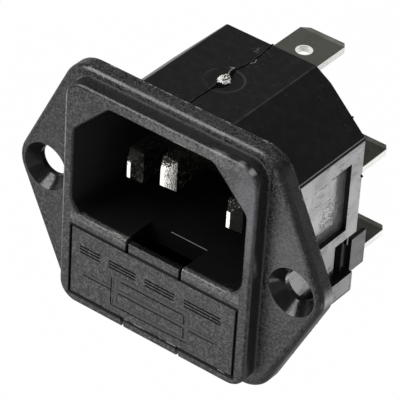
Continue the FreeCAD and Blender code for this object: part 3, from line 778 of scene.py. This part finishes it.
# Crumbs of flash along the flange's rear edge; random values are kind, limits and seed
flangeFlash = dict(path=((-9.0, -0.05, 15.97), (11.5, -0.05, 15.97), (13.2, -0.05, 15.55), (15.05, -0.05, 13.85),
                         (20.85, -0.05, 1.75), (21.2, -0.05, 0.0), (20.85, -0.05, -1.75), (15.05, -0.05, -13.85)),
                   count=220, size=0.08, roundness=2,
                   kept=("BOOLEAN", {"Probability": 0.45}, 3),
                   turn=("FLOAT_VECTOR", {"Max": (6.28, 6.28, 6.28)}, 5),
                   growth=("FLOAT_VECTOR", {"Min": (0.25, 0.2, 0.2), "Max": (2.4, 0.9, 0.8)}, 11))


def randomValue(tree, kind, limits, seed):
    node = tree.nodes.new("FunctionNodeRandomValue")
    node.data_type = kind
    for name, value in limits.items():
        node.inputs[name].default_value = value
    node.inputs["Seed"].default_value = seed
    return [socket for socket in node.outputs if socket.type == kind.replace("FLOAT_", "")][0]


def crumbTree():
    tree, sockets, given, path = startTree("flashCrumbs", (("Count", "Int"), ("Size", "Float")), "Crumbs")
    spots = tree.nodes.new("GeometryNodeResampleCurve")
    crumb = tree.nodes.new("GeometryNodeMeshIcoSphere")
    crumb.inputs["Subdivisions"].default_value = flangeFlash["roundness"]
    place = tree.nodes.new("GeometryNodeInstanceOnPoints")
    tree.links.new(path, spots.inputs["Curve"])
    tree.links.new(given.outputs["Count"], spots.inputs["Count"])
    tree.links.new(given.outputs["Size"], crumb.inputs["Radius"])
    tree.links.new(spots.outputs[0], place.inputs["Points"])
    tree.links.new(crumb.outputs["Mesh"], place.inputs["Instance"])
    for name, what in (("Selection", "kept"), ("Rotation", "turn"), ("Scale", "growth")):
        tree.links.new(randomValue(tree, *flangeFlash[what]), place.inputs[name])
    endTree(tree, given, place.outputs[0])
    return tree, sockets


def makeFlash():
    settings = {"Count": flangeFlash["count"], "Size": flangeFlash["size"] * mm, "Finish": rubbedEdge}
    mesh = growAlong([flangeFlash["path"]], crumbTree(), settings)
    addPiece("flangeFlash", mesh, "inlet_body", rubbedEdge)


# The sign's walls and rules are dark ribbons: painted shade in the sunk strokes and in the grooves of the rules
def makeSign():
    g = sign
    rules = [[(left, height), (right, height)] for left, right in g["rules"] for height in g["ruleHeights"]]
    for name, lines, half, sunk in (("signWalls", g["walls"], g["wallHalf"], 0.0),
                                    ("signRules", rules, g["ruleHalf"], g["ruleSunk"])):
        paths = [[(x, g["face"] + sunk, z) for x, z in line] for line in lines]
        addPiece(name, ridge(paths, half, g["sides"], darkPitAndShade), "drawer", darkPitAndShade)


# The left part of the bright edge behind the slot in the recess floor lies in shade
slotShade = dict(path=((-4.0, 0.46, -2.64), (-1.2, 0.46, -2.64)), half=0.09, sides=8)


def makeSlotShade():
    shade = ridge([slotShade["path"]], slotShade["half"], slotShade["sides"], darkPitAndShade)
    addPiece("slotShade", shade, "inlet_body", darkPitAndShade)


makeSign()
makeSlotShade()
makeGate()
makeBurrs()
makeFlash()
print("pieces made")


# The pools are three soft round lights on the floor, seen only in reflections: centre, inner and outer radius,
# brightness. Two lie in front on the left and behind on the right, the third is what the pins' bevels show.
studio = dict(floorDrop=45, floorSize=3, floorColour=0.86, floorRough=0.9, floorWhite=0.98, dim=0.35,
              pools=(((-40, -90), 20, 62, 1.5), ((62, 74), 18, 42, 2.15), ((93, -9), 10, 28, 2.6)),
              roof=0.12, horizon=0.45, skyline=(0.05, 0.40), around=0.40)


def makeFloor():
    mesh = bmesh.new()
    bmesh.ops.create_grid(mesh, x_segments=1, y_segments=1, size=studio["floorSize"])
    height = cadBox[0].z - studio["floorDrop"] * mm
    bmesh.ops.translate(mesh, verts=mesh.verts[:], vec=(0, 0, height))
    data = meshFrom(mesh, "floor")
    floor = addObject("floor", data)
    material = bpy.data.materials.new("paperFloor")
    material.use_nodes = True
    w = NodeWriter(material.node_tree)
    surface = w.nodes["Principled BSDF"]
    surface.inputs["Base Color"].default_value = (studio["floorColour"],) * 3 + (1,)
    surface.inputs["Roughness"].default_value = studio["floorRough"]
    glow = w.nodes.new("ShaderNodeEmission")
    rays = w.nodes.new("ShaderNodeLightPath").outputs
    place = w.nodes.new("ShaderNodeTexCoord").outputs["Object"]
    light = studio["dim"]
    for centre, inner, outer, bright in studio["pools"]:
        away = w.nodes.new("ShaderNodeVectorMath")
        away.operation = "DISTANCE"
        w.links.new(place, away.inputs[0])
        w.feed(away.inputs[1], (*[part * mm for part in centre], height))
        light = w.math("ADD", w.step(away.outputs["Value"], inner * mm, outer * mm, bright, 0), light)
    w.feed(glow.inputs["Strength"], w.blend(rays["Is Glossy Ray"], 1.0, light))
    seen = w.any(rays["Is Camera Ray"], rays["Is Glossy Ray"], rays["Is Transmission Ray"])
    both = w.nodes.new("ShaderNodeMixShader")
    w.feed(both.inputs[0], w.math("MULTIPLY", seen, studio["floorWhite"]))
    w.links.new(surface.outputs[0], both.inputs[1])
    w.links.new(glow.outputs[0], both.inputs[2])
    w.links.new(both.outputs[0], w.nodes["Material Output"].inputs[0])
    data.materials.append(material)


def makeWorld():
    world = bpy.data.worlds.new("studio")
    bpy.context.scene.world = world
    world.use_nodes = True
    w = NodeWriter(world.node_tree)
    back = w.nodes["Background"]
    rays = w.nodes.new("ShaderNodeLightPath").outputs
    split = w.nodes.new("ShaderNodeSeparateXYZ")
    w.links.new(w.nodes.new("ShaderNodeTexCoord").outputs["Generated"], split.inputs[0])
    sky = w.step(split.outputs["Z"], *studio["skyline"], studio["horizon"], studio["roof"])
    dome = w.blend(rays["Is Glossy Ray"], studio["around"], sky)
    w.feed(back.inputs["Strength"], w.math("MAXIMUM", dome, rays["Is Camera Ray"]))
    back.inputs["Color"].default_value = (1, 1, 1, 1)


# Lengths in metres, power in watts
lamps = dict(keySoftbox=dict(direction=(-0.52, -0.46, 0.72), distance=0.7, width=0.45, height=0.45, power=4.0),
             lowCard=dict(direction=(0.591, 0.717, -0.371), distance=0.0985, width=0.09, height=0.04, power=0.020))


def makeLamp(name, direction, distance, width, height, power):
    data = bpy.data.lights.new(name, "AREA")
    data.shape = "RECTANGLE"
    data.size = width
    data.size_y = height
    data.energy = power
    lamp = addObject(name, data)
    away = Vector(direction).normalized()
    lamp.location = away * distance
    lamp.rotation_mode = "QUATERNION"
    lamp.rotation_quaternion = away.to_track_quat("Z", "Y")
    lamp.visible_camera = False


makeFloor()
makeWorld()
for name, settings in lamps.items():
    makeLamp(name, **settings)
bpy.context.scene.view_settings.view_transform = "Standard"
print("studio lit")
